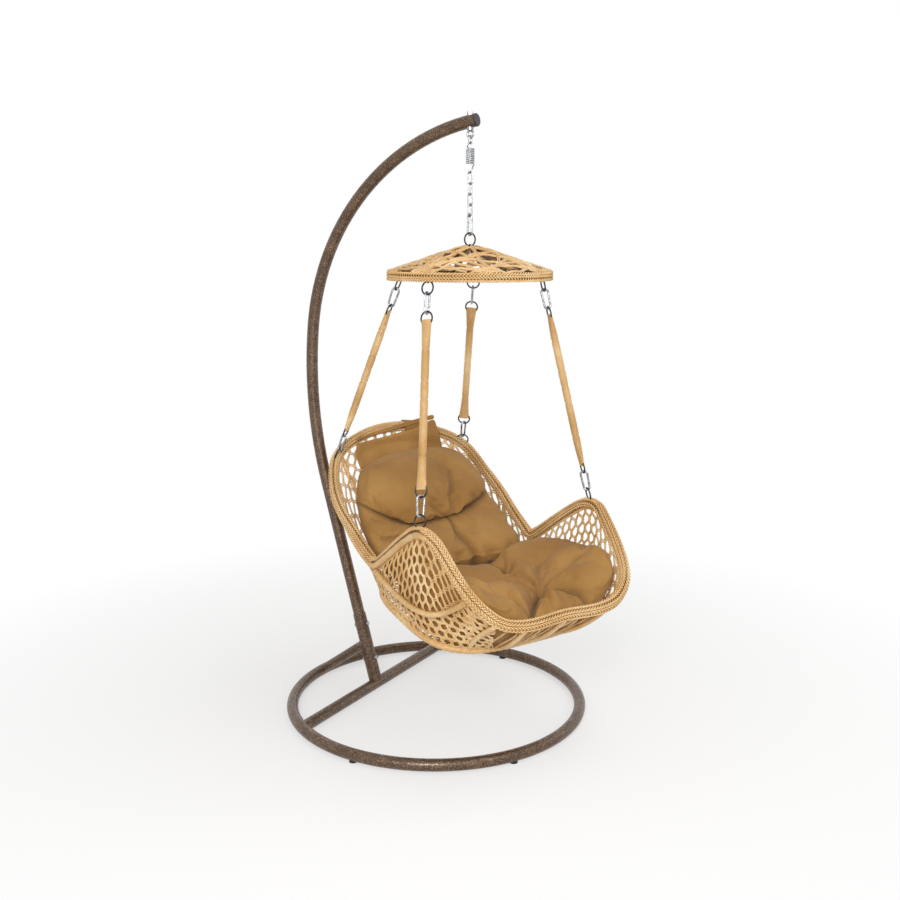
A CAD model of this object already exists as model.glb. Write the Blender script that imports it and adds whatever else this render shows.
"""A wicker swing chair under a small canopy, hung on a C-shaped steel stand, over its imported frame."""
import math

import bpy
import numpy as np
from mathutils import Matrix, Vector


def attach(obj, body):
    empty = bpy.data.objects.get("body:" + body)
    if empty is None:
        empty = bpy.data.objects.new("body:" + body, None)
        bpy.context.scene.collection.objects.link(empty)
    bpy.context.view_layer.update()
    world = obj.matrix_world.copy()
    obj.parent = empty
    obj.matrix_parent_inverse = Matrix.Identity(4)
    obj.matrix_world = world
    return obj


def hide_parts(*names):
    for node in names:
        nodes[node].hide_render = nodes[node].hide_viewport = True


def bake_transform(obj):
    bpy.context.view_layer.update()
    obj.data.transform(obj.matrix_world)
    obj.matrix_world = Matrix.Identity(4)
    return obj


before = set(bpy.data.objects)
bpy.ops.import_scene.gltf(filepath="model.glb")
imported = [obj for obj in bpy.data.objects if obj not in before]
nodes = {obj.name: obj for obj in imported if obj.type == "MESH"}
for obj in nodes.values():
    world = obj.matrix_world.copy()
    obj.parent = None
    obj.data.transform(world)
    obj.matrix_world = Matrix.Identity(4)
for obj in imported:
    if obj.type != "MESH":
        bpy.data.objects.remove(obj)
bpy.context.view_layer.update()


# Stand: base ring, cross bar, lower post, rear brace and the bent C pole. Welded and bolted steel tube
# with a hammered antique bronze powder paint, dark brown with lighter copper specks.
def colour(code):
    """Linear colour of a hex code written as it should look."""
    parts = [int(code[i:i + 2], 16) / 255 for i in (1, 3, 5)]
    return tuple(((c + 0.055) / 1.055) ** 2.4 if c > 0.04045 else c / 12.92 for c in parts) + (1,)


class Shader:
    """A material on object coordinates, with the few nodes that the finishes here share."""

    def __init__(self, name, **sockets):
        self.material = bpy.data.materials.new(name)
        self.material.use_nodes = True
        self.tree = self.material.node_tree
        self.surface = self.tree.nodes["Principled BSDF"]
        for socket, value in sockets.items():
            self.fill(self.surface, socket.replace("_", " "), value)
        self.place = self.add("ShaderNodeTexCoord").outputs["Object"]

    def fill(self, node, socket, value):
        """Give a node's input another node's output, a hex colour or a plain value."""
        if isinstance(value, bpy.types.NodeSocket):
            self.tree.links.new(value, node.inputs[socket])
        else:
            node.inputs[socket].default_value = colour(value) if isinstance(value, str) else value

    def add(self, kind, sockets=(), **settings):
        """A new node with its settings and inputs."""
        made = self.tree.nodes.new(kind)
        for setting, value in settings.items():
            setattr(made, setting, value)
        for socket, value in dict(sockets).items():
            self.fill(made, socket, value)
        return made

    def noise(self, scale, detail=2.0, roughness=0.5):
        sockets = {"Scale": scale, "Detail": detail, "Roughness": roughness, "Vector": self.place}
        return self.add("ShaderNodeTexNoise", sockets).outputs["Fac"]

    def cells(self, scale):
        sockets = {"Scale": scale, "Vector": self.place}
        return self.add("ShaderNodeTexVoronoi", sockets, feature="SMOOTH_F1").outputs["Distance"]

    def ramp(self, source, *stops):
        made = self.add("ShaderNodeValToRGB", {"Fac": source})
        marks = made.color_ramp.elements
        while len(marks) < len(stops):
            marks.new(0.5)
        for mark, (place, code) in zip(marks, stops):
            mark.position = place
            mark.color = colour(code)
        return made.outputs["Color"]

    def levels(self, source, low, high, out_low, out_high):
        sockets = {"Value": source, "From Min": low, "From Max": high, "To Min": out_low, "To Max": out_high}
        return self.add("ShaderNodeMapRange", sockets).outputs["Result"]

    def mixed(self, share, first, second, blend="MIX"):
        sockets = {"Factor": share, 6: first, 7: second}
        return self.add("ShaderNodeMix", sockets, data_type="RGBA", blend_type=blend).outputs[2]

    def bump(self, height, strength, distance, under=None):
        sockets = {"Height": height, "Strength": strength, "Distance": distance}
        if under is not None:
            sockets["Normal"] = under
        return self.add("ShaderNodeBump", sockets).outputs["Normal"]

    def paint(self, base, roughness=None, normal=None):
        for socket, source in (("Base Color", base), ("Roughness", roughness), ("Normal", normal)):
            if source is not None:
                self.fill(self.surface, socket, source)


def dress(material, *names):
    """One finish on CAD pieces that keep their own shape."""
    for name in names:
        mesh = nodes[name].data
        mesh.materials.clear()
        mesh.materials.append(material)


bronze = Shader("hammered_bronze", Metallic=0.5, Coat_Weight=0.35, Coat_Roughness=0.2)
speckle = bronze.noise(250, detail=3, roughness=0.6)
mottle = bronze.noise(26, detail=3)
dimples = bronze.cells(210)
flecked = bronze.ramp(speckle, (0.34, "#35261a"), (0.47, "#594330"), (0.57, "#755d46"), (0.70, "#ae9275"))
shaded = bronze.ramp(mottle, (0.3, "#b9a897"), (0.7, "#ffffff"))
bronze.paint(
    bronze.mixed(0.7, flecked, shaded, blend="MULTIPLY"),
    roughness=bronze.levels(speckle, 0.3, 0.7, 0.52, 0.3),
    normal=bronze.bump(dimples, 0.35, 0.0016),
)
dress(bronze.material, "base_ring", "cross_bar", "lower_post", "rear_brace", "c_pole")

# Pole cap and floor pads: a black plastic moulding pushed into the tube's end, and rubber pads pressed
# on under the base ring.
plastic = Shader("black_plastic", Roughness=0.45)
grain = plastic.noise(900, detail=2)
plastic.paint(
    plastic.ramp(grain, (0.35, "#17171a"), (0.65, "#26262a")),
    normal=plastic.bump(grain, 0.2, 0.0004),
)
dress(plastic.material, "pole_end_cap")
rubber = Shader("pad_rubber", Roughness=0.8)
dust = rubber.noise(240, detail=4)
rubber.paint(rubber.ramp(dust, (0.35, "#1b1a19"), (0.7, "#34312e")), normal=rubber.bump(dust, 0.3, 0.0006))
dress(rubber.material, "floor_pads")

# Bolts, eye bolt, chain and snap hooks: bright zinc-plated steel, slightly clouded by handling. The links
# and hooks hang loose in each other; each gate is riveted to its hook.
zinc = Shader("zinc_plate", Metallic=1.0)
cloud = zinc.noise(95, detail=4)
scratch = zinc.noise(700, detail=2)
zinc.paint(
    zinc.ramp(cloud, (0.3, "#85888d"), (0.55, "#aeb1b5"), (0.75, "#d2d3d4")),
    roughness=zinc.levels(cloud, 0.3, 0.7, 0.2, 0.42),
    normal=zinc.bump(scratch, 0.12, 0.0003),
)
dress(
    zinc.material, "post_bolts", "post_nuts", "eye_bolt", "eye_bolt_nut", "top_link", "chain_link_1",
    "chain_link_2", "chain_link_3", "chain_link_4", "main_hook", "main_hook_gate", "main_hook_rivet",
    "front_hooks", "rear_hooks", "front_hook_rivets", "rear_hook_rivets",
    *(f"gate_{level}_{end}_{side}" for level in ("high", "low") for end in ("front", "rear")
      for side in ("right", "left")),
)

# Spring above the chain: zinc-plated wire, its coil drawn out between two stiff hooked ends as the seat is
# loaded.
coil = bpy.data.objects.new("coil_spring", nodes["hanging_spring"].data.copy())
bpy.context.collection.objects.link(coil)
coil.data.materials.clear()
coil.data.materials.append(zinc.material)
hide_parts("hanging_spring")
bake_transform(coil)

# Rings at the canopy, on the strap ends and in the basket's rim: dark gunmetal steel rod, bent round and
# welded shut.
gunmetal = Shader("gunmetal", Metallic=0.9)
tarnish = gunmetal.noise(180, detail=4)
gunmetal.paint(
    gunmetal.ramp(tarnish, (0.3, "#2b2724"), (0.6, "#4a443f"), (0.8, "#6a625a")),
    roughness=gunmetal.levels(tarnish, 0.3, 0.7, 0.28, 0.5),
)
dress(
    gunmetal.material, "top_ring", "front_canopy_rings", "rear_canopy_rings", "front_strap_rings",
    "rear_strap_rings", "seat_rings",
)


# Straps: a core closely wound with thin round cane from end to end, swelling to a flat loop that holds a
# dark ring at each end. Peeled rattan, varnished.
rattan = Shader("rattan", Roughness=0.4, Coat_Weight=0.2, Coat_Roughness=0.2)
batch = rattan.noise(7.5, detail=3)
fibre = rattan.noise(160, detail=4, roughness=0.7)
streak = rattan.noise(620, detail=2)
tone = rattan.ramp(batch, (0.3, "#c9a063"), (0.5, "#dcb77f"), (0.7, "#ecd0a0"))
grained = rattan.ramp(fibre, (0.25, "#cbb08c"), (0.5, "#f6eddd"), (0.75, "#ffffff"))
rattan.paint(
    rattan.mixed(0.6, tone, grained, blend="MULTIPLY"),
    roughness=rattan.levels(fibre, 0.3, 0.7, 0.32, 0.52),
    normal=rattan.bump(streak, 0.25, 0.0005),
)


def finish_piece(piece, material, body, slot, *replaced):
    """Finish, carrier and CAD nodes of a piece that is done."""
    piece.data.materials.clear()
    piece.data.materials.append(material)
    for polygon in piece.data.polygons:
        polygon.use_smooth = True
    if replaced:
        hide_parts(*replaced)
    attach(piece, body)


def pick(piece, *others):
    """Select these objects alone, with the first of them active."""
    bpy.ops.object.select_all(action="DESELECT")
    for one in (piece, *others):
        one.select_set(True)
    bpy.context.view_layer.objects.active = piece


def canes(name, strands, radius, sides=1, closed=False):
    """Round canes along lines of points; a strand may bring its own thickness at each point."""
    drawn = bpy.data.curves.new(name, "CURVE")
    drawn.dimensions = "3D"
    drawn.bevel_depth = radius
    drawn.bevel_resolution = sides
    drawn.use_fill_caps = True
    for strand in strands:
        line, share = strand if isinstance(strand, tuple) else (strand, None)
        spline = drawn.splines.new("POLY")
        spline.points.add(len(line) - 1)
        spline.points.foreach_set("co", np.column_stack((line, np.ones(len(line)))).ravel())
        if share is not None:
            spline.points.foreach_set("radius", np.asarray(share, float))
        spline.use_cyclic_u = closed
    piece = bpy.data.objects.new(name, drawn)
    bpy.context.collection.objects.link(piece)
    pick(piece)
    bpy.ops.object.convert(target="MESH")
    return bpy.context.view_layer.objects.active


def caned(name, strands, radius, body, *replaced, finish=rattan, sides=1, closed=False):
    """A piece of round canes, finished and carried."""
    finish_piece(canes(name, strands, radius, sides, closed), finish.material, body, "rattan", *replaced)


def bell(off, width):
    return np.exp(-((off / width) ** 2))


def unit(rows):
    return rows / np.linalg.norm(rows, axis=-1, keepdims=True)


STRAP_PITCH = 0.0031
STRAP_ROUND = 0.0125
STRAP_WIDE, STRAP_THIN = 0.0190, 0.0062
STRAP_FLARE = 0.085
STRAP_LOOP = 0.012
STRAP_CORE = 0.0055
SEAM_DEPTH, SEAM_SHARE = 0.0018, 0.007
STRAP_SEAMS = (0.2, 0.42, 0.53, 0.64, 0.83)
TURN_STEPS = 14


def wound_strap(name, body):
    """Cane wound closely round a strap's own line, round in the middle and flat at both ends."""
    corners = np.array([v.co for v in nodes[name].data.vertices])
    middle = corners.mean(0)
    way = np.linalg.svd(corners - middle, full_matrices=False)[2][0]
    way = way * np.sign(way[2])
    along = (corners - middle) @ way
    flat = corners[along > along.max() - STRAP_LOOP] - middle
    flat = flat - np.outer(flat @ way, way)
    across = np.linalg.svd(flat - flat.mean(0), full_matrices=False)[2][0]
    across = unit(across - way * (across @ way))
    through = np.cross(way, across)
    turns = (along.max() - along.min()) / STRAP_PITCH
    turn = np.linspace(0, turns, int(turns * TURN_STEPS))
    travel = along.min() + turn * STRAP_PITCH
    from_end = np.minimum(travel - along.min(), along.max() - travel)
    flare = np.clip(1 - from_end / STRAP_FLARE, 0, 1) ** 1.5
    wide = STRAP_ROUND + (STRAP_WIDE - STRAP_ROUND) * flare
    thin = STRAP_ROUND + (STRAP_THIN - STRAP_ROUND) * flare
    share = (travel - along.min()) / (along.max() - along.min())
    for place in STRAP_SEAMS:
        groove = SEAM_DEPTH * bell(share - place, SEAM_SHARE)
        wide = wide - groove
        thin = thin - groove
    angle = turn * 2 * math.pi
    wire = STRAP_PITCH * 0.52
    line = middle + np.outer(travel, way)
    line = line + np.outer(np.cos(angle) * (wide - wire), across)
    line = line + np.outer(np.sin(angle) * (thin - wire), through)
    core_at = np.linspace(along.min() + wire, along.max() - wire, 40)
    core = middle + np.outer(core_at, way)
    piece = canes(f"wound_{name}", [line], wire)
    inner = canes(f"core_{name}", [core], STRAP_CORE)
    pick(piece, inner)
    bpy.ops.object.join()
    finish_piece(piece, rattan.material, body, "rattan", name)


for end in ("front", "rear"):
    for side in ("right", "left"):
        wound_strap(f"strap_{end}_{side}", f"{end}_straps")

# Hanging line: canopy and basket hang below the pole's tip and are turned a little about it, as
# photographed. They are built on an upright axis and placed by this turn.
HANG_LINE = np.array((0.0, -0.1267, 0.0))
HANG_TURN = math.radians(-25.65)
TURNED = np.array((
    (math.cos(HANG_TURN), -math.sin(HANG_TURN), 0),
    (math.sin(HANG_TURN), math.cos(HANG_TURN), 0),
    (0, 0, 1),
))


def hung(points):
    """Points of the hanging part, built on its own upright axis, placed in the world."""
    return np.asarray(points) @ TURNED.T + HANG_LINE


def read_off(at, known, rows):
    """Rows given at known places, read off at others."""
    return np.column_stack([np.interp(at, known, column) for column in rows.T])


TWIST_STEPS = 7


def rope_strands(line, out, up, spread, round_at, pitch, throw, hand=1, start=0.0):
    """Two strands of a laid rope whose middle runs beside a closed line of evenly spaced points."""
    length = np.linalg.norm(np.roll(line, -1, 0) - line, axis=1).sum()
    twists = max(3, round(length / pitch))
    count = twists * TWIST_STEPS
    at = np.arange(count) / count
    known = np.arange(len(line) + 1) / len(line)
    middle, sideways, upright = (read_off(at, known, np.vstack((rows, rows[:1]))) for rows in (line, out, up))
    sideways, upright = unit(sideways), unit(upright)
    around = math.radians(round_at)
    beside = sideways * math.cos(around) + upright * math.sin(around)
    round_it = upright * math.cos(around) - sideways * math.sin(around)
    centre = middle + beside * spread
    strands = []
    for i in (0, 1):
        phase = (hand * 2 * math.pi * twists * at + math.pi * i + start)[:, None]
        strands.append(centre + beside * (np.cos(phase) * throw) + round_it * (np.sin(phase) * throw))
    return strands


# Canopy: a shallow cone of rattan canes woven at random over eight wrapped ribs, edged by three laid ropes
# that are stitched to its hoop
CANOPY_EDGE = 0.256
CANOPY_HOOP_Z = 1.460
CANOPY_ROPE_STEP = 0.0096
CANOPY_TOP = 1.5535
CANOPY_CROWN = 0.060
CANOPY_LOW = 1.4775
CANOPY_PITCH, CANOPY_THROW, CANOPY_CANE = 0.020, 0.0033, 0.0022
EDGE_CORE, EDGE_CORE_IN = 0.0045, 0.004
CONE_ROWS = ((0.034, 5), (0.078, 6), (0.122, 7), (0.166, 8), (0.210, 10))
CONE_CANE, CONE_STRAY, CONE_SKEW = 0.0026, 0.016, 0.022
CONE_RISE, CONE_DROP, CONE_POINTS = 0.0018, 0.0035, 28
CANOPY_RIBS = 8
RIB_WRAP, RIB_SPREAD, RIB_CANE, RIB_DROP = 0.0062, 0.0058, 0.0028, 0.0075
RING_POINTS = 240


def canopy_height(reach):
    """Top side of the woven cone: a straight fall with a rounded crown."""
    fall = (CANOPY_TOP - CANOPY_LOW) / (CANOPY_EDGE - CANOPY_CROWN / 2)
    crown = fall * reach ** 2 / (2 * CANOPY_CROWN)
    slope = fall * (reach - CANOPY_CROWN / 2)
    return CANOPY_TOP - np.where(reach < CANOPY_CROWN, crown, slope)


ring_at = np.linspace(0, 2 * math.pi, RING_POINTS, endpoint=False)
ring_out = np.column_stack((np.cos(ring_at), np.sin(ring_at), np.zeros(RING_POINTS)))
ring_up = np.tile((0.0, 0.0, 1.0), (RING_POINTS, 1))
edge_ropes = []
for i in (-1, 0, 1):
    circle = ring_out * CANOPY_EDGE + (0, 0, CANOPY_HOOP_Z + i * CANOPY_ROPE_STEP)
    hand = 1 if i else -1
    edge_ropes += rope_strands(
        hung(circle), ring_out @ TURNED.T, ring_up, 0.0, 0, CANOPY_PITCH, CANOPY_THROW, hand=hand,
    )
caned("canopy_edge_ropes", edge_ropes, CANOPY_CANE, "canopy", "canopy_rim", closed=True)

shade = Shader("shaded_cane", Roughness=0.7)
soot = shade.noise(90, detail=3)
shade.paint(shade.ramp(soot, (0.3, "#4a3116"), (0.7, "#71502a")))
cores = []
for i in (-0.5, 0.5):
    level = CANOPY_HOOP_Z + i * CANOPY_ROPE_STEP
    cores.append(hung(ring_out * (CANOPY_EDGE - EDGE_CORE_IN) + (0, 0, level)))
caned("canopy_edge_core", cores, EDGE_CORE, "canopy", finish=shade, closed=True)

chance = np.random.default_rng(7)
cone_canes = []
for row, (near, count) in enumerate(CONE_ROWS):
    for i in range(count):
        aim = 2 * math.pi * (i + chance.uniform(-0.35, 0.35)) / count + row * 0.4
        pass_by = near + chance.uniform(-CONE_STRAY, CONE_STRAY)
        half = math.sqrt(CANOPY_EDGE ** 2 - pass_by ** 2)
        travel = np.linspace(-half, half, CONE_POINTS)
        skew = chance.uniform(-CONE_SKEW, CONE_SKEW)
        for beside in (-CONE_CANE, CONE_CANE):
            bow = pass_by + beside + skew * np.sin(travel / half * math.pi)
            x = math.cos(aim) * bow - math.sin(aim) * travel
            y = math.sin(aim) * bow + math.cos(aim) * travel
            reach = np.minimum(np.hypot(x, y), CANOPY_EDGE - 0.003)
            weave = CONE_RISE * np.sin(travel / half * math.pi * 5 + row * 2.1 + i)
            cone_canes.append(hung(np.column_stack((x, y, canopy_height(reach) - CONE_DROP + weave))))
caned("canopy_canes", cone_canes, CONE_CANE, "canopy", "canopy_weave")
rib_canes = []
for i in range(CANOPY_RIBS):
    aim = 2 * math.pi * (i + 0.5) / CANOPY_RIBS
    reach = np.linspace(0.012, CANOPY_EDGE - 0.004, 120)
    lift = canopy_height(reach) - RIB_DROP
    turn = reach / RIB_WRAP * 2 * math.pi
    side_way = np.array((-math.sin(aim), math.cos(aim), 0))
    out_way = np.array((math.cos(aim), math.sin(aim), 0))
    line = np.outer(reach, out_way) + np.outer(lift, (0, 0, 1))
    line = line + np.outer(np.cos(turn) * RIB_SPREAD, side_way)
    line = line + np.outer(np.sin(turn) * RIB_SPREAD, (0, 0, 1))
    rib_canes.append(hung(line))
caned("canopy_rib_wraps", rib_canes, RIB_CANE, "canopy")
steel = Shader("canopy_steel", Metallic=0.6)
rust = steel.noise(120, detail=4)
steel.paint(steel.ramp(rust, (0.3, "#4d3a2a"), (0.6, "#7d6247"), (0.8, "#a1835f")),
            roughness=steel.levels(rust, 0.3, 0.7, 0.4, 0.6))
dress(steel.material, "canopy_frame")

# Basket lines: the rim and the bottom hoop as measured lines round an upright axis, from the middle of the
# back (0 degrees) over the side (90) to the middle of the front (180), and the swelling wall between them
AXIS_Y = -0.072
HOOP_WIDE, HOOP_DEEP, HOOP_SQUARE = 0.300, 0.247, 3.4
HOOP_LEVEL, HOOP_SLOPE = 0.411, 0.225
WALL_SWELL, BACK_SWELL = 0.04, 0.03
RIM = np.array((
    (0, 480, 912), (140, 468, 892), (262, 421, 833), (312, 335, 732), (318, 190, 625), (314, 105, 572),
    (313, 70, 557), (314, 35, 573), (318, -50, 631), (322, -140, 691), (326, -200, 721), (325, -258, 723),
    (316, -308, 692), (277, -445, 553), (198, -486, 493), (0, -491, 488),
)) / 1000
RIM_AT = np.arctan2(RIM[:, 0], RIM[:, 1] - AXIS_Y)
RIM_LINE = np.column_stack((np.hypot(RIM[:, 0], RIM[:, 1] - AXIS_Y), RIM[:, 2]))
RIM_SLOPE = np.zeros_like(RIM_LINE)
RIM_SLOPE[1:-1] = (RIM_LINE[2:] - RIM_LINE[:-2]) / (RIM_AT[2:] - RIM_AT[:-2])[:, None]


def rim_at(angle):
    """Reach and level of the rim's middle line."""
    turn = np.abs((np.asarray(angle, float) + math.pi) % (2 * math.pi) - math.pi)
    i = np.clip(np.searchsorted(RIM_AT, turn) - 1, 0, len(RIM_AT) - 2)
    step = RIM_AT[i + 1] - RIM_AT[i]
    t = ((turn - RIM_AT[i]) / step)[..., None]
    step = step[..., None]
    late = 3 * t ** 2 - 2 * t ** 3
    ends = (1 - late) * RIM_LINE[i] + late * RIM_LINE[i + 1]
    return ends + ((t ** 3 - 2 * t ** 2 + t) * RIM_SLOPE[i] + (t ** 3 - t ** 2) * RIM_SLOPE[i + 1]) * step


def hoop_at(angle):
    """Reach and level of the bottom hoop's middle line, a squared-off oval on a slope."""
    wide = np.abs(np.sin(angle) / HOOP_WIDE) ** HOOP_SQUARE
    deep = np.abs(np.cos(angle) / HOOP_DEEP) ** HOOP_SQUARE
    reach = (wide + deep) ** (-1 / HOOP_SQUARE)
    return np.stack((reach, HOOP_LEVEL + HOOP_SLOPE * reach * np.cos(angle)), axis=-1)


def around_axis(angle, section):
    """Points round the basket's axis, from their reach and level."""
    reach, level = section[..., 0], section[..., 1]
    return np.stack((reach * np.sin(angle), AXIS_Y + reach * np.cos(angle), level), axis=-1)


def wall_arc(angle):
    """Middle, radius, half angle, length, upright and outward of the wall's arc from hoop to rim."""
    foot, top = hoop_at(angle), rim_at(angle)
    rise = top - foot
    chord = np.linalg.norm(rise, axis=-1)
    swell = (WALL_SWELL + BACK_SWELL * np.maximum(np.cos(angle), 0) ** 2) * chord
    radius = (chord ** 2 / 4 + swell ** 2) / (2 * swell)
    upright = rise / chord[..., None]
    outward = np.stack((upright[..., 1], -upright[..., 0]), axis=-1)
    middle = foot + rise / 2 - outward * (radius - swell)[..., None]
    half = np.arcsin(chord / 2 / radius)
    return middle, radius, half, 2 * half * radius, upright, outward


def wall_length(angle):
    """Length of the wall from rim to hoop."""
    return wall_arc(np.asarray(angle, float))[3]


def on_wall(angle, depth, lift=0.0):
    """Point of the wall at a depth below the rim along its arc, raised outwards by lift, in the world."""
    angle = np.asarray(angle, float)
    middle, radius, half, length, upright, outward = wall_arc(angle)
    turn = half * (1 - 2 * np.asarray(depth) / length)
    way = outward * np.cos(turn)[..., None] + upright * np.sin(turn)[..., None]
    return hung(around_axis(angle, middle + way * (radius + lift)[..., None]))


def depth_at(angle, level, lift):
    """Depth below the rim at which the wall, raised by lift, has a level."""
    middle, radius, half, length, upright, _ = wall_arc(np.asarray(angle, float))
    lean = np.arctan2(upright[..., 0], upright[..., 1])
    turn = lean + np.arcsin((level - middle[..., 1]) / (radius + lift))
    return length * (1 - turn / half) / 2


def run_along(line):
    """Length of a line of points up to each of them."""
    return np.concatenate(((0,), np.cumsum(np.linalg.norm(np.diff(line, axis=0), axis=1))))


def even_loop(section_at, count, start=0.0):
    """Angles of evenly spaced points round a closed line."""
    fine = np.linspace(start, start + 2 * math.pi, 4001)
    line = around_axis(fine, section_at(fine))
    run = run_along(line)
    return np.interp(np.arange(count) / count * run[-1], run, fine)


def loop_frame(angles, section_at):
    """Line, outward and upward directions of a closed loop, in the world."""
    line = hung(around_axis(angles, section_at(angles)))
    tangent = unit(np.roll(line, -1, 0) - np.roll(line, 1, 0))
    radial = np.column_stack((np.sin(angles), np.cos(angles), np.zeros(len(angles)))) @ TURNED.T
    out = unit(radial - tangent * (radial * tangent).sum(1, keepdims=True))
    up = np.cross(tangent, out)
    return line, out, up * np.sign(up[:, 2:3])


def from_back(angles):
    """Degrees from the middle of the back, either way round."""
    return np.degrees(np.abs((angles + math.pi) % (2 * math.pi) - math.pi))


def runs(line, keep):
    """Stretches of a line of points where keep holds."""
    edges = np.flatnonzero(np.diff(np.concatenate(((0,), keep.astype(int), (0,)))))
    return [line[a:b] for a, b in zip(edges[::2], edges[1::2]) if b - a > 3]


# Rim: laid cane ropes bound side by side round a bent tube. Along each rising arm the tube is bare but for a
# broad flat cane wrapped round it and one rope on its top.
ROPE_SPREAD = 0.0142
ROPE_CANE = 0.0024
ROPE_THROW = 0.0033
ROPE_PITCH = 0.0215
ROPE_SHIFT = 1.3
ROPES_INNER, ROPES_OUTER = (125, 170, 215, 260), (-55, -10, 35, 80)
RIM_CORE = 0.0122
ARM_FROM, ARM_TO = 65, 117
ARM_PLACE, ARM_PITCH, ARM_THROW, ARM_CANE = 80, 0.0185, 0.0037, 0.0038
RIM_POINTS = 900
rim_angles = even_loop(rim_at, RIM_POINTS, start=math.pi / 2)
rim_line, rim_out, rim_up = loop_frame(rim_angles, rim_at)


def rim_rope(place, hand, begin, pitch=ROPE_PITCH, throw=ROPE_THROW):
    """Two strands of a rope beside the rim's middle line, and their degrees from the back."""
    strands = rope_strands(rim_line, rim_out, rim_up, ROPE_SPREAD, place, pitch, throw, hand, begin)
    known = np.append(rim_angles, rim_angles[0] + 2 * math.pi)
    count = len(strands[0])
    at = np.interp(np.arange(count) / count, np.arange(RIM_POINTS + 1) / RIM_POINTS, known)
    return strands, from_back(at)


whole_ropes = []
for i, place in enumerate(ROPES_INNER):
    whole_ropes += rim_rope(place, 1 if i % 2 else -1, i * ROPE_SHIFT)[0]
caned("rim_ropes_inner", whole_ropes, ROPE_CANE, "basket", "basket_rim", closed=True)
outer_ropes = []
for i, place in enumerate(ROPES_OUTER):
    strands, degrees = rim_rope(place, 1 if i % 2 else -1, i * ROPE_SHIFT + 0.6)
    for strand in strands:
        outer_ropes += runs(strand, (degrees < ARM_FROM) | (degrees > ARM_TO))
caned("rim_ropes_outer", outer_ropes, ROPE_CANE, "basket")
arm_ropes = []
strands, degrees = rim_rope(ARM_PLACE, 1, 0.3, pitch=ARM_PITCH, throw=ARM_THROW)
for strand in strands:
    arm_ropes += runs(strand, (degrees > ARM_FROM - 3) & (degrees < ARM_TO + 2))
caned("rim_ropes_arm", arm_ropes, ARM_CANE, "basket")
caned("rim_core", [rim_line], RIM_CORE, "basket", finish=shade, sides=3, closed=True)

# Arm tubes, side rails, bottom hoop and ribs: bent tubes wrapped in broad flat cane, whose overlaps show as
# rings; the rails and ribs are bound on outside the weave
WRAP_GROOVE, WRAP_NARROW, WRAP_SWELL = 0.10, 0.07, 0.025
ARM_POINTS = 160
ARM_OUT, ARM_DOWN, ARM_RING, ARM_TUBE = 0.0075, 0.0065, 0.05, 0.0108


def wrapped(line, ring=0.022):
    """Evenly spaced points of a wrapped tube with its thickness at each."""
    run = run_along(line)
    at = np.arange(0, run[-1], ring / 10)
    phase = (at / ring) % 1
    groove = WRAP_GROOVE * bell(phase - 0.5, WRAP_NARROW)
    return read_off(at, run, line), 1 - groove + WRAP_SWELL * np.cos(2 * math.pi * phase)


arms = []
for side in (1, -1):
    turn = np.radians(np.linspace(ARM_FROM - 2, ARM_TO + 5, ARM_POINTS))
    line, out, up = loop_frame(np.concatenate((side * turn, side * turn[::-1])), rim_at)
    beside = line + out * ARM_OUT - up * ARM_DOWN
    arms.append(wrapped(beside[2:ARM_POINTS - 2], ring=ARM_RING))
caned("wrapped_arm_tubes", arms, ARM_TUBE, "basket", sides=3)

RAIL_REAR, RAIL_LOW, RAIL_FRONT = 69, 114, 138
RAIL_HEIGHTS = (0.539, 0.479, 0.552)
RAIL_LIFT, RAIL_TUBE, RAIL_BELOW_RIM = 0.0132, 0.009, 0.03


def rail_level(degrees):
    """Height of the side rail, which dips between the arm's two ends."""
    rear = np.clip((RAIL_LOW - degrees) / (RAIL_LOW - RAIL_REAR), 0, None) ** 1.6
    front = np.clip((degrees - RAIL_LOW) / (RAIL_FRONT - RAIL_LOW), 0, None) ** 2.5
    rise = (RAIL_HEIGHTS[0] - RAIL_HEIGHTS[1]) * rear + (RAIL_HEIGHTS[2] - RAIL_HEIGHTS[1]) * front
    return RAIL_HEIGHTS[1] + rise


rails = []
for side in (1, -1):
    turn = np.linspace(RAIL_REAR, RAIL_FRONT, 120)
    angle = side * np.radians(turn)
    depth = np.maximum(depth_at(angle, rail_level(turn), RAIL_LIFT), RAIL_BELOW_RIM)
    rails.append(wrapped(on_wall(angle, depth, RAIL_LIFT)))
caned("wrapped_side_rails", rails, RAIL_TUBE, "basket", "side_rails", sides=3)

HOOP_TUBE = 0.011
hoop_angles = even_loop(hoop_at, 400)
hoop_line = hung(around_axis(hoop_angles, hoop_at(hoop_angles)))
hoop_wrap = wrapped(np.vstack((hoop_line, hoop_line[:1])))
caned("wrapped_bottom_hoop", [hoop_wrap], HOOP_TUBE, "basket", "bottom_hoop", sides=3, closed=True)

RIBS = ((0, 0), (24, 24), (46, 46), (138, 150), (157, 161), (180, 180))
RIB_LIFT, RIB_TUBE, RIB_POINTS = 0.0114, 0.0075, 80
ribs = []
for foot, head in RIBS:
    for side in ((1,) if foot in (0, 180) else (1, -1)):
        angle = side * np.radians(np.linspace(head, foot, RIB_POINTS))
        depth = np.linspace(0.018, 1, RIB_POINTS) * (wall_length(angle) - 0.012)
        lift = RIB_LIFT * (1 - np.linspace(0, 1, RIB_POINTS) ** 3)
        ribs.append(wrapped(on_wall(angle, depth, lift), ring=0.02))
caned("wrapped_ribs", ribs, RIB_TUBE, "basket", "basket_ribs", sides=2)

# Upper weave: canes run down from the rim in pairs, part below each row and pair up with their neighbours at
# the next, which leaves staggered upright lens holes
COLUMN_STEP = 0.015
NET_ROW = 0.030
NET_DWELL = 0.012
NET_CANE = 0.0022
NET_MEET = 0.0011
NET_FROM, NET_STEP, NET_FIRST = 0.006, 0.004, 0.022
NET_RISE = 0.0019


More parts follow.
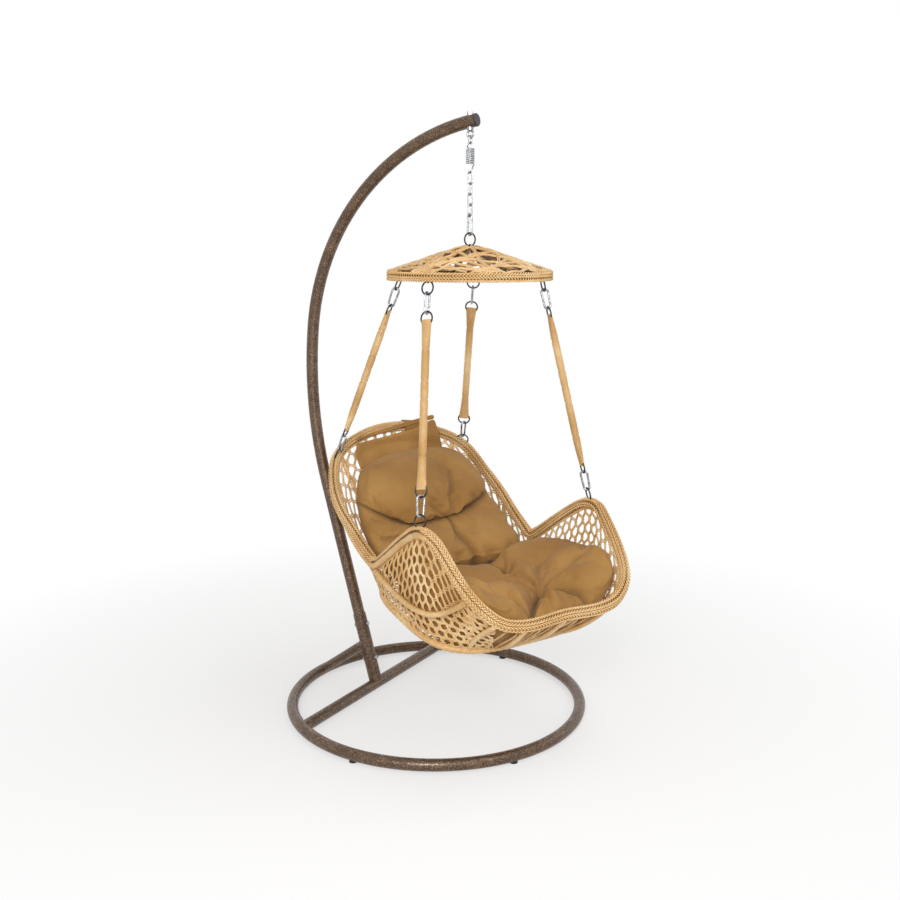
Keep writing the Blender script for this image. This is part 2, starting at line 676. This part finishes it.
def wall_middle(angle):
    """Reach halfway between rim and hoop, on the flat."""
    return np.stack(((rim_at(angle)[..., 0] + hoop_at(angle)[..., 0]) / 2, 0 * angle), axis=-1)


fine_angles = np.linspace(0, math.pi, 2001)
fine_line = around_axis(fine_angles, wall_middle(fine_angles))
fine_run = run_along(fine_line)


def net_floor(degrees):
    """Depth at which the upper weave ends: the hoop, or the rail along the arms."""
    angle = np.radians(degrees)
    if RAIL_REAR < degrees < RAIL_FRONT:
        return float(max(depth_at(angle, rail_level(degrees), 0), RAIL_BELOW_RIM))
    return float(wall_length(angle) - 0.004)


def band_on_wall(run, depth, lift, half, side=1):
    """Two canes side by side along a line given by its run round the wall and its depth below the rim."""
    ahead = np.gradient(np.column_stack((run, depth)), axis=0)
    across = unit(np.column_stack((-ahead[:, 1], ahead[:, 0])))
    lines = []
    for beside in (-half, half):
        moved = np.sign(run) * np.interp(np.abs(run + across[:, 0] * beside), fine_run, fine_angles)
        lines.append(on_wall(side * moved, depth + across[:, 1] * beside, lift))
    return lines


def net_canes(first, last):
    """Paired canes of the upper weave between two angles from the back."""
    lines = []
    columns = int(fine_run[-1] / COLUMN_STEP)
    step = fine_run[-1] / columns
    for column in range(-columns, columns):
        degrees = np.degrees(np.interp(abs(column + 0.5) * step, fine_run, fine_angles))
        if not first <= degrees < last:
            continue
        depth = np.arange(NET_FROM, net_floor(degrees), NET_STEP)
        if len(depth) < 4:
            continue
        row = (depth - NET_FIRST) / NET_ROW
        apart = np.abs((row - column % 2 + 1) % 2 - 1)
        share = np.clip((apart * NET_ROW - NET_DWELL / 2) / (NET_ROW - NET_DWELL), 0, 1)
        share = share ** 2 * (3 - 2 * share)
        run = step * column + (step - 2 * NET_MEET) * share + NET_MEET
        lift = NET_RISE * np.cos(math.pi * apart) * (1 if column % 2 else -1)
        lines += band_on_wall(run, depth, lift, NET_CANE)
    return lines


caned("woven_back", net_canes(0, RAIL_REAR), NET_CANE, "basket", "basket_wall")
caned("woven_arms", net_canes(RAIL_REAR, RAIL_FRONT + 4), NET_CANE, "basket")

# Lower weave: below the side rails the canes cross in three directions, which leaves six-sided holes; round
# the front a few canes cross between the ribs
KAGOME_STEP = 0.0275
KAGOME_TILT = 4
KAGOME_CANE = 0.0018
KAGOME_RISE = 0.0015
KAGOME_REACH, KAGOME_LINES = 0.9, 30
FRONT_FROM = 150
FRONT_CANES = (
    (146, 156), (152, 163), (163, 170), (169, 176), (175, 183), (152, 144), (165, 157), (177, 169),
)
FRONT_LIFT, FRONT_POINTS = 0.0016, 30


def kagome_top(degrees):
    """Height of the lower weave above the hoop, along the wall."""
    angle = np.radians(degrees)
    rail = depth_at(angle, rail_level(np.minimum(degrees, RAIL_FRONT)), 0)
    under_rail = wall_length(angle) - np.maximum(rail, RAIL_BELOW_RIM)
    return np.where(degrees < RAIL_FRONT, under_rail, wall_length(angle) - 0.012)


kagome = []
start_run, end_run = np.interp(np.radians((RAIL_REAR, FRONT_FROM)), fine_angles, fine_run)
for way, offset in ((0, 0.5), (60, 0.0), (120, 0.0)):
    aim = math.radians(way + KAGOME_TILT)
    along = np.array((math.cos(aim), math.sin(aim)))
    off = np.array((-math.sin(aim), math.cos(aim)))
    travel = np.arange(-KAGOME_REACH, KAGOME_REACH, 0.004)
    for i in range(-KAGOME_LINES, KAGOME_LINES + 1):
        flat = np.outer(travel, along) + off * (i + offset) * KAGOME_STEP
        run = start_run + flat[:, 0]
        degrees = np.degrees(np.interp(run, fine_run, fine_angles))
        keep = (run > start_run) & (run < end_run)
        keep = keep & (flat[:, 1] > 0.002) & (flat[:, 1] < kagome_top(degrees))
        lift = KAGOME_RISE * np.sin(2 * math.pi * travel / (KAGOME_STEP * 1.155) + way)
        depth = wall_length(np.radians(degrees)) - flat[:, 1]
        for side in (1, -1):
            within = np.clip(run, 0.01, fine_run[-1] - 0.01)
            for line in band_on_wall(within, depth, lift, KAGOME_CANE, side):
                kagome += runs(line, keep)
for foot, head in FRONT_CANES:
    for side in (1, -1):
        angle = side * np.radians(np.linspace(head, foot, FRONT_POINTS))
        depth = np.linspace(0.012, 1, FRONT_POINTS) * (wall_length(angle) - 0.006)
        for lift in (-FRONT_LIFT, FRONT_LIFT):
            kagome.append(on_wall(angle, depth, lift * np.cos(np.linspace(0, 9, FRONT_POINTS))))
caned("woven_low_sides", kagome, KAGOME_CANE * 1.15, "basket")

# Floor of the basket: an open plain weave of round cane, over one and under one, its ends laced to the
# bottom hoop.
FLOOR_STEP, FLOOR_CANE, FLOOR_RISE = 0.024, 0.0031, 0.0024
FLOOR_POINTS = 80
floor_canes = []
for i in range(-12, 13):
    for way in (0, 1):
        aim = np.linspace(-HOOP_WIDE, HOOP_WIDE, FLOOR_POINTS)
        beside = np.full(FLOOR_POINTS, i * FLOOR_STEP)
        x, y = (beside, aim) if way else (aim, beside)
        inside = np.hypot(x, y) < hoop_at(np.arctan2(x, y))[..., 0] - 0.004
        if inside.sum() < 4:
            continue
        over = FLOOR_RISE * np.sin(math.pi * (aim / FLOOR_STEP + i)) * (1 if way else -1)
        line = np.column_stack((x, y + AXIS_Y, HOOP_LEVEL + HOOP_SLOPE * y + over))
        floor_canes.append(hung(line[inside]))
caned("woven_floor", floor_canes, FLOOR_CANE, "basket", "basket_floor")

# Seat and back cushions: khaki cotton covers over loose fibre fill. Thread sewn through at the tufts and
# along the creases draws the cover in, and the fill swells up between them.
cloth = Shader("khaki_cotton", Roughness=0.88, Sheen_Weight=0.05)
fade = cloth.noise(5.5, detail=3)
slub = cloth.noise(520, detail=3, roughness=0.7)
rub = cloth.noise(60, detail=4, roughness=0.65)
fold = cloth.add("ShaderNodeAttribute", attribute_name="fold").outputs["Fac"]
woven_tone = cloth.mixed(0.3, cloth.ramp(fade, (0.3, "#976d33"), (0.7, "#b18648")),
                         cloth.ramp(slub, (0.3, "#93703f"), (0.7, "#ffffff")), blend="MULTIPLY")
cloth.paint(
    cloth.mixed(fold, woven_tone, "#3d260d"),
    roughness=cloth.levels(rub, 0.3, 0.7, 0.8, 0.95),
    normal=cloth.bump(slub, 0.25, 0.0005, under=cloth.bump(rub, 0.2, 0.003)),
)
PAD_RINGS = 46
PAD_TURNS = 170


def wall_inside(angle, level, gap):
    """Reach of the wall's inner side at an angle and a level, less a gap."""
    middle, radius, *_ = wall_arc(angle)
    inside = np.maximum((radius - gap) ** 2 - (level - middle[..., 1]) ** 2, 0)
    return middle[..., 0] + np.sqrt(inside)


def to_line(points, line):
    """Distance of flat points from a bent line."""
    nearest = np.full(len(points), np.inf)
    for a, b in zip(np.array(line[:-1]), np.array(line[1:])):
        along = np.clip(((points - a) @ (b - a)) / ((b - a) @ (b - a)), 0, 1)
        nearest = np.minimum(nearest, np.linalg.norm(points - a - np.outer(along, b - a), axis=1))
    return nearest


def drawn_in(points, creases):
    """How far the cover is drawn in at flat points: deepest at a crease, easing off into the pillow."""
    deepest = np.zeros(len(points))
    for depth, width, *line in creases:
        deepest = np.maximum(deepest, depth * np.exp(-to_line(points, line) / width))
    return deepest


def gathers(points, tuft, reach, height, folds, seed):
    """Small folds that fan out from a tuft."""
    off = points - np.array(tuft)
    far = np.linalg.norm(off, axis=1)
    turn = np.arctan2(off[:, 1], off[:, 0])
    shift = np.random.default_rng(seed).uniform(0, 2 * math.pi, 3)
    wave = np.sin(folds * turn + shift[0]) + 0.6 * np.sin((folds * 2 - 3) * turn + shift[1])
    return height * wave * (far / reach) * np.exp(1 - far / reach) * np.clip(far / 0.03, 0, 1)


def pad_places(outline):
    """Flat places of a cushion's rings, from its middle out to its outline."""
    share = np.sqrt(np.linspace(0, 1, PAD_RINGS + 1)[1:]) ** 1.25
    middle = outline.mean(0)
    return np.vstack((middle, (middle + share[:, None, None] * (outline - middle)).reshape(-1, 2)))


def softened(line, times):
    """A closed line of points with its corners eased."""
    for _ in range(times):
        line = (np.roll(line, 1, 0) + 2 * line + np.roll(line, -1, 0)) / 4
    return line


def sewn_shape(name, points, polygons):
    """A mesh of points and polygons, its faces outwards, left picked."""
    mesh = bpy.data.meshes.new(name)
    mesh.from_pydata(points.tolist(), [], polygons)
    piece = bpy.data.objects.new(name, mesh)
    bpy.context.collection.objects.link(piece)
    pick(piece)
    bpy.ops.object.mode_set(mode="EDIT")
    bpy.ops.mesh.select_all(action="SELECT")
    bpy.ops.mesh.normals_make_consistent(inside=False)
    bpy.ops.object.mode_set(mode="OBJECT")
    return piece


def pad(name, outline, faces, rounding):
    """A closed cushion over a flat outline whose two faces meet round its edge."""
    flat = pad_places(outline)
    edge = to_line(flat, np.vstack((outline, outline[:1])))
    edge[-PAD_TURNS:] = 0
    full = np.sqrt(1 - (1 - np.clip(edge / rounding, 0, 1)) ** 2)[:, None]
    one, other = faces(flat)
    half = (one - other) / 2
    points = np.vstack((one - half * (1 - full), (other + half * (1 - full))[:-PAD_TURNS]))
    count = len(flat)
    polygons = []
    for face in (0, 1):
        def at(ring, turn):
            if ring < 0:
                return face * count
            place = 1 + ring * PAD_TURNS + turn % PAD_TURNS
            return place if face == 0 or place >= count - PAD_TURNS else count + place
        for ring in range(-1, PAD_RINGS - 1):
            for turn in range(PAD_TURNS):
                corners = [at(ring, turn), at(ring + 1, turn), at(ring + 1, turn + 1), at(ring, turn + 1)]
                corners = list(dict.fromkeys(corners))
                polygons.append(corners if face == 0 else corners[::-1])
    return sewn_shape(name, hung(points), polygons)


SEWN_WIDTH = 0.005
FOLD_WIDTH = 0.008
FOLD_DEPTH = 0.05
FOLD_DARK = 0.62
SWELL_CAP = 0.028
SWELL_FRAMES, SWELL_PRESSURE, SWELL_SLACK, SWELL_BEND = 20, 4, -0.07, 0.2
SWELL_ROOM = 0.024


def swelled(piece, outline, creases):
    """Fill swells the cover, which stays held along its creases and underneath, until it wrinkles."""
    flat = pad_places(outline)
    dark = np.zeros(len(piece.data.vertices))
    for depth, _, *line in creases:
        near = bell(to_line(flat, line), FOLD_WIDTH) * FOLD_DARK * min(depth / FOLD_DEPTH, 1)
        dark[:len(flat)] = np.maximum(dark[:len(flat)], near)
    piece.data.attributes.new("fold", "FLOAT", "POINT").data.foreach_set("value", dark)
    seam = np.min([to_line(flat, line) for _, _, *line in creases], axis=0) < SEWN_WIDTH
    held = np.concatenate((seam, np.ones(len(piece.data.vertices) - len(flat), bool)))
    held[len(flat) - 2 * PAD_TURNS:len(flat)] = True
    sewn = piece.vertex_groups.new(name="sewn")
    sewn.add(np.flatnonzero(held).tolist(), 1.0, "REPLACE")
    before = np.empty(len(held) * 3)
    piece.data.vertices.foreach_get("co", before)
    fill = piece.modifiers.new("fill", "CLOTH")
    fill.settings.vertex_group_mass = "sewn"
    fill.settings.use_pressure = True
    fill.settings.uniform_pressure_force = SWELL_PRESSURE
    fill.settings.shrink_min = SWELL_SLACK
    fill.settings.bending_stiffness = SWELL_BEND
    fill.settings.effector_weights.gravity = 0
    for step in range(1, SWELL_FRAMES + 1):
        bpy.context.scene.frame_set(step)
    bpy.ops.object.modifier_apply(modifier="fill")
    bpy.context.scene.frame_set(1)
    after = np.empty(len(held) * 3)
    piece.data.vertices.foreach_get("co", after)
    moved = (after - before).reshape(-1, 3)
    far = np.linalg.norm(moved, axis=1, keepdims=True)
    moved = moved * SWELL_CAP * np.tanh(far / SWELL_CAP) / np.maximum(far, 1e-9)
    piece.data.vertices.foreach_set("co", before + moved.ravel())
    piece.vertex_groups.clear()
    finer = piece.modifiers.new("finer", "SUBSURF")
    finer.levels = finer.render_levels = 1
    bpy.ops.object.modifier_apply(modifier="finer")


# Seat cushion: the same cotton and fill. It lies loose on the woven floor, cups up against the arms and
# dips at two tufts.
SEAT_MIDDLE = (0.0, -0.19)
SEAT_TOP, SEAT_EDGE_TOP, SEAT_GAP = 0.562, 0.585, 0.008
SEAT_CUP, SEAT_PUSH, SEAT_FALL = 0.085, 0.016, 0.030
SEAT_TUFT, FRONT_TUFT = (0.030, -0.270), (-0.085, -0.370)
HALVINGS = 24
SEAT_CREASES = (
    (0.062, 0.022, SEAT_TUFT, (-0.015, -0.300), FRONT_TUFT, (-0.10, -0.42)),
    (0.042, 0.020, SEAT_TUFT, (0.075, -0.310), (0.118, -0.350), (0.13, -0.43)),
    (0.036, 0.018, SEAT_TUFT, (-0.060, -0.205), (-0.170, -0.160), (-0.33, -0.13)),
    (0.036, 0.016, FRONT_TUFT, (-0.140, -0.300), (-0.240, -0.250)),
    (0.022, 0.012, SEAT_TUFT, (0.085, -0.180), (0.13, -0.13)),
    (0.018, 0.012, SEAT_TUFT, (0.150, -0.235), (0.22, -0.22)),
    (0.018, 0.012, SEAT_TUFT, (0.030, -0.150), (0.02, -0.08)),
    (0.040, 0.016, (0.010, 0.05), (0.045, -0.050), (0.02, -0.11)),
)


def seat_rear(across):
    """How far back the seat reaches: further beside both arms, most where it is pushed up the back."""
    far_side = 0.036 * np.clip((across - 0.02) / 0.14, 0, 1)
    near_side = 0.034 * np.clip((-across - 0.07) / 0.1, 0, 1)
    return 0.028 + far_side + near_side


def seat_outline():
    """Edge of the seat on the flat, as far out as the wall and the back let it reach."""
    turn = np.arange(PAD_TURNS) / PAD_TURNS * 2 * math.pi
    way = np.column_stack((np.sin(turn), np.cos(turn)))
    near, far = np.zeros(PAD_TURNS), np.full(PAD_TURNS, 0.6)
    for _ in range(HALVINGS):
        reach = (near + far) / 2
        place = SEAT_MIDDLE + way * reach[:, None]
        angle = np.arctan2(place[:, 0], place[:, 1])
        room = wall_inside(angle, np.minimum(0.56, rim_at(angle)[..., 1] - 0.03), SEAT_GAP)
        fits = (place[:, 1] < seat_rear(place[:, 0])) & (np.linalg.norm(place, axis=1) < room)
        near, far = np.where(fits, reach, near), np.where(fits, far, reach)
    reach = np.convolve(np.concatenate((near[-8:], near, near[:8])), np.ones(9) / 9, "same")[8:-8]
    return SEAT_MIDDLE + way * np.minimum(reach, near + 0.004)[:, None]


def seat_faces(flat):
    """Top and underside of the seat; the underside follows floor and wall."""
    across, back = flat[:, 0], flat[:, 1]
    angle, reach = np.arctan2(across, back), np.hypot(across, back)
    low, high = hoop_at(angle)[..., 1], np.minimum(rim_at(angle)[..., 1], SEAT_EDGE_TOP)
    for _ in range(HALVINGS):
        level = (low + high) / 2
        inside = wall_inside(angle, level, SEAT_GAP) > reach
        low, high = np.where(inside, low, level), np.where(inside, level, high)
    cupped = SEAT_CUP * (across / 0.28) ** 2 * (0.5 + 0.5 * bell(back + 0.25, 0.12))
    pushed = np.clip((across - 0.02) / 0.1, 0, 1) * np.clip((0.27 - across) / 0.08, 0, 1)
    pushed = SEAT_PUSH * pushed * bell(back - 0.02, 0.09)
    top = SEAT_TOP - SWELL_ROOM + cupped + pushed - SEAT_FALL * np.clip((-back - 0.30) / 0.12, 0, 1)
    top = top - drawn_in(flat, SEAT_CREASES)
    top = top + gathers(flat, SEAT_TUFT, 0.075, 0.0055, 7, 3)
    top = top + gathers(flat, FRONT_TUFT, 0.05, 0.005, 6, 5)
    under = np.maximum(HOOP_LEVEL + HOOP_SLOPE * back + 0.009, high)
    top = np.maximum(top, under + 0.01)
    place = np.column_stack((across, back + AXIS_Y))
    return np.column_stack((place, top)), np.column_stack((place, under))


seat_pad = pad("padded_seat", seat_outline(), seat_faces, 0.055)
swelled(seat_pad, seat_outline(), SEAT_CREASES)
finish_piece(seat_pad, cloth.material, "basket", "cushion_cloth", "seat_cushion")

# Back cushion: stands on the floor behind the seat and leans on the back wall, a big upper lobe over two
# lower ones, drawn in at one tuft
BACK_GAP, BACK_FOOT, BACK_LEAN = 0.014, 0.018, 1.12
LOBE_SWELL, LOBE_HANG, LOBE_DROOP = 0.030, 0.010, 0.020
BACK_TUFT = (0.0, 0.660)
BACK_EDGE = np.array((
    (-0.270, 0.500), (-0.288, 0.560), (-0.288, 0.610), (-0.275, 0.660), (-0.258, 0.710), (-0.244, 0.755),
    (-0.205, 0.805), (-0.100, 0.838), (0.060, 0.848), (0.165, 0.842), (0.208, 0.800), (0.226, 0.740),
    (0.240, 0.670), (0.255, 0.610), (0.255, 0.560), (0.240, 0.500), (0.0, 0.488),
))
BACK_CREASES = (
    (0.072, 0.022, (-0.270, 0.715), (-0.215, 0.680), (-0.150, 0.650), (-0.070, 0.652), BACK_TUFT),
    (0.050, 0.020, BACK_TUFT, (0.100, 0.676), (0.190, 0.700), (0.250, 0.715)),
    (0.046, 0.018, BACK_TUFT, (-0.012, 0.620), (0.010, 0.540), (0.01, 0.48)),
    (0.026, 0.014, BACK_TUFT, (0.022, 0.720), (0.075, 0.785)),
    (0.018, 0.012, BACK_TUFT, (-0.060, 0.700)),
    (0.030, 0.014, (-0.130, 0.648), (-0.180, 0.625), (-0.26, 0.62)),
)


def back_outline():
    """Edge of the back cushion, across and up."""
    known = np.linspace(0, 1, len(BACK_EDGE) + 1)
    closed = np.vstack((BACK_EDGE, BACK_EDGE[:1]))
    at = np.arange(PAD_TURNS) / PAD_TURNS
    return softened(read_off(at, known, closed), 12)


def back_faces(flat):
    """Front and rear of the back cushion; the rear follows the wall, the upper lobe hangs over its crease."""
    across, level = flat[:, 0], flat[:, 1]
    angle = np.zeros(len(flat))
    for _ in range(5):
        angle = np.arcsin(np.clip(across / wall_inside(angle, level, BACK_GAP), -0.95, 0.95))
    rear = np.cos(angle) * wall_inside(angle, level, BACK_GAP)
    room = SWELL_ROOM * np.clip((level - 0.58) / 0.07, 0, 1)
    front = BACK_FOOT + room + BACK_LEAN * np.maximum(level - 0.556, 0) + 0.7 * across ** 2
    pushed = seat_rear(np.maximum(across, 0)) - seat_rear(0.0)
    front = front + pushed * np.clip((0.66 - level) / 0.08, 0, 0.6)
    front = front - LOBE_SWELL * bell(level - 0.740, 0.06) + drawn_in(flat, BACK_CREASES)
    front = front + gathers(flat, BACK_TUFT, 0.07, 0.005, 7, 8)
    front = np.minimum(front, rear - BACK_GAP)
    crease = np.array(BACK_CREASES[0][2:] + BACK_CREASES[1][3:])
    above = level - np.interp(across, crease[:, 0], crease[:, 1])
    hanging = bell(above - 0.022, 0.016) * np.clip((0.12 - across) / 0.12, 0.25, 1)
    front = front - LOBE_HANG * hanging
    drooped = level - LOBE_DROOP * hanging
    return np.column_stack((across, front + AXIS_Y, drooped)), np.column_stack((across, rear + AXIS_Y, level))


back_pad = pad("padded_back", back_outline(), back_faces, 0.070)
swelled(back_pad, back_outline(), BACK_CREASES)
finish_piece(back_pad, cloth.material, "basket", "cushion_cloth", "back_cushion")

# Head flap: a flat padded flap of the same cotton before the rim, with a strap along its top edge and a sewn
# band over the ropes that carries it
FLAP_SCALE, FLAP_THICK = 0.5, 0.011
FLAP_WALL_GAP, FLAP_RIM_GAP = 0.0075, 0.0255
FLAP_EDGE = np.array(((-20.2, 0.788), (-6, 0.802), (8, 0.816), (19.6, 0.828), (18.2, 0.880), (16.2, 0.936),
                      (8, 0.905), (-6, 0.886), (-19.6, 0.876), (-20.0, 0.83)))
STRAP_EDGE = np.array(((-20.0, 0.886), (-8, 0.898), (4, 0.914), (16.4, 0.934), (16.0, 0.950), (4, 0.930),
                       (-8, 0.911), (-19.6, 0.896)))


def flap_outline(edge, soften):
    """Edge of a flat piece before the rim, given by its degrees from the back and its level."""
    closed = np.vstack((edge, edge[:1])) * (math.radians(1) * FLAP_SCALE, 1)
    run = run_along(closed)
    at = np.arange(PAD_TURNS) / PAD_TURNS * run[-1]
    return softened(read_off(at, run, closed), soften)


def flap_faces(flat):
    """Front and rear of the flap, which lies before the wall and the rim."""
    angle, level = flat[:, 0] / FLAP_SCALE, flat[:, 1]
    rim_reach, rim_level = rim_at(angle)[..., 0], rim_at(angle)[..., 1]
    room = wall_inside(angle, np.minimum(level, rim_level), FLAP_WALL_GAP)
    room = np.minimum(room, rim_reach - FLAP_RIM_GAP)
    puff = 0.0015 * np.sin(level * 90 + angle * 5) + 0.0012 * np.sin(angle * 38)
    seam = 0.002 * bell(angle - 0.12, 0.008)
    front = room - FLAP_THICK + puff + seam
    return around_axis(angle, np.stack((front, level), -1)), around_axis(angle, np.stack((room, level), -1))


def strap_faces(flat):
    """Front and rear of the strap, half as thick as the flap."""
    rear, front = flap_faces(flat)[::-1]
    return rear + (front - rear) * 0.5, rear


flap_pad = pad("sewn_head_flap", flap_outline(FLAP_EDGE, 6), flap_faces, 0.010)
finish_piece(flap_pad, cloth.material, "basket", "cushion_cloth", "head_flap")
flap_strap = pad("sewn_flap_strap", flap_outline(STRAP_EDGE, 3), strap_faces, 0.003)
finish_piece(flap_strap, cloth.material, "basket", "cushion_cloth")
BAND_FROM, BAND_TO = 4, 11
BAND_REACH, BAND_THICK = 0.0225, 0.002
BAND_STEPS = 26
band_at = np.degrees((rim_angles + math.pi) % (2 * math.pi) - math.pi)
band_at = np.flatnonzero((band_at > BAND_FROM) & (band_at < BAND_TO))
sweep = np.radians(np.linspace(215, -35, BAND_STEPS))
corners = rim_line[band_at][:, None] + BAND_REACH * (
    rim_out[band_at][:, None] * np.cos(sweep)[:, None] + rim_up[band_at][:, None] * np.sin(sweep)[:, None]
)
quads = []
for row in range(len(band_at) - 1):
    for i in range(row * BAND_STEPS, row * BAND_STEPS + BAND_STEPS - 1):
        quads.append((i, i + 1, i + BAND_STEPS + 1, i + BAND_STEPS))
band = sewn_shape("sewn_flap_band", corners.reshape(-1, 3), quads)
folded = band.modifiers.new("folded", "SOLIDIFY")
folded.thickness = BAND_THICK
folded.offset = 0
bpy.ops.object.modifier_apply(modifier="folded")
finish_piece(band, cloth.material, "basket", "cushion_cloth", "flap_band")


# Studio: a pale floor that keeps the shadow and fades to white, four soft lamps, and the camera of the
# photograph. None of it belongs to the part.
def plainly_seen(tree):
    """1 for rays that reach the eye straight, by reflection or through something clear."""
    rays = tree.nodes.new("ShaderNodeLightPath")
    total = rays.outputs["Is Camera Ray"]
    for kind in ("Is Glossy Ray", "Is Transmission Ray"):
        most = tree.nodes.new("ShaderNodeMath")
        most.operation = "MAXIMUM"
        tree.links.new(total, most.inputs[0])
        tree.links.new(rays.outputs[kind], most.inputs[1])
        total = most.outputs["Value"]
    return total


bpy.ops.mesh.primitive_circle_add(vertices=96, radius=9, fill_type="NGON")
ground = bpy.context.active_object
ground.name = "studio_floor"
pale = Shader("studio_floor", Base_Color="#f2f1ef", Roughness=0.9)
glow = pale.add("ShaderNodeEmission")
distance = pale.add("ShaderNodeVectorMath", {0: pale.place}, operation="LENGTH")
fade_out = pale.levels(distance.outputs["Value"], 0.7, 2.2, 0.55, 1.0)
shown = pale.add("ShaderNodeMath", {0: fade_out, 1: plainly_seen(pale.tree)}, operation="MULTIPLY")
both = pale.add("ShaderNodeMixShader", {
    "Fac": shown.outputs["Value"],
    1: pale.surface.outputs["BSDF"],
    2: glow.outputs["Emission"],
})
pale.fill(pale.tree.nodes["Material Output"], "Surface", both.outputs["Shader"])
ground.data.materials.append(pale.material)

world = bpy.data.worlds.new("studio")
bpy.context.scene.world = world
world.use_nodes = True
sky = world.node_tree
seen_white = sky.nodes.new("ShaderNodeMapRange")
seen_white.inputs["To Min"].default_value = 0.46
seen_white.inputs["To Max"].default_value = 1.0
sky.links.new(plainly_seen(sky), seen_white.inputs["Value"])
sky.links.new(seen_white.outputs["Result"], sky.nodes["Background"].inputs["Strength"])
sky.nodes["Background"].inputs["Color"].default_value = (1, 1, 1, 1)

LAMPS_AIM = Vector((0, -0.1, 0.9))
LAMPS = (
    ("key", (-3.5, -1.6, 2.3), 1.4, 100),
    ("top", (0.6, -1.0, 4.2), 1.6, 26),
    ("front", (-0.9, -3.2, 3.0), 1.4, 16),
    ("side", (2.6, -2.8, 2.0), 2.0, 10),
)
for label, place, width, energy in LAMPS:
    lamp = bpy.data.lights.new(label, "AREA")
    lamp.size = width
    lamp.energy = energy
    light = bpy.data.objects.new(label, lamp)
    light.location = place
    light.rotation_euler = (LAMPS_AIM - light.location).to_track_quat("-Z", "Y").to_euler()
    bpy.context.collection.objects.link(light)

lens = bpy.data.cameras.new("photo_camera")
FOCAL_PIXELS, PICTURE_PIXELS = 1072.93, 900
CAMERA_DOWN, CAMERA_TURN = 10.75, -59.478
lens.lens = FOCAL_PIXELS / PICTURE_PIXELS * lens.sensor_width
viewer = bpy.data.objects.new("photo_camera", lens)
viewer.location = (-2.9667, -1.8037, 1.5497)
viewer.rotation_euler = (math.radians(90 - CAMERA_DOWN), 0, math.radians(CAMERA_TURN))
bpy.context.collection.objects.link(viewer)
bpy.context.scene.camera = viewer
bpy.context.scene.view_settings.view_transform = "Standard"
